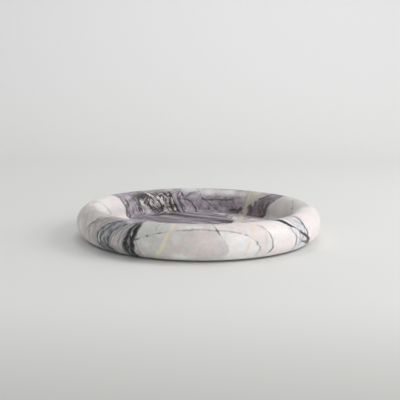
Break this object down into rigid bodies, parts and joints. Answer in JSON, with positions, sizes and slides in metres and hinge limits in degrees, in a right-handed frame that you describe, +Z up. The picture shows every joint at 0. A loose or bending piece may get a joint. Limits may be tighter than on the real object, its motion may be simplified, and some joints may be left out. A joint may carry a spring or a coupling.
{
  "type": "stone tray",
  "caption": "Round stone tray with a thick rounded rim and a flat floor, on felt pads, for holding small things on a table.",
  "frame": {"origin": "on the surface that the tray stands on, under the centre of the round tray", "axes": "+Z up along the tray's axis, -Y towards the viewer of the picture, +X to the viewer's right"},
  "size_m": [0.3, 0.3, 0.04],
  "materials": {
    "honed_marble": "honed white and lilac marble with dark, grey and amber veins",
    "grey_felt": "dense pressed felt"
  },
  "bodies": {
    "root": {"tray_body": "honed_marble", "felt_pad_front_left": "grey_felt", "felt_pad_front_right": "grey_felt", "felt_pad_rear_left": "grey_felt", "felt_pad_rear_right": "grey_felt"}
  },
  "joints": []
}
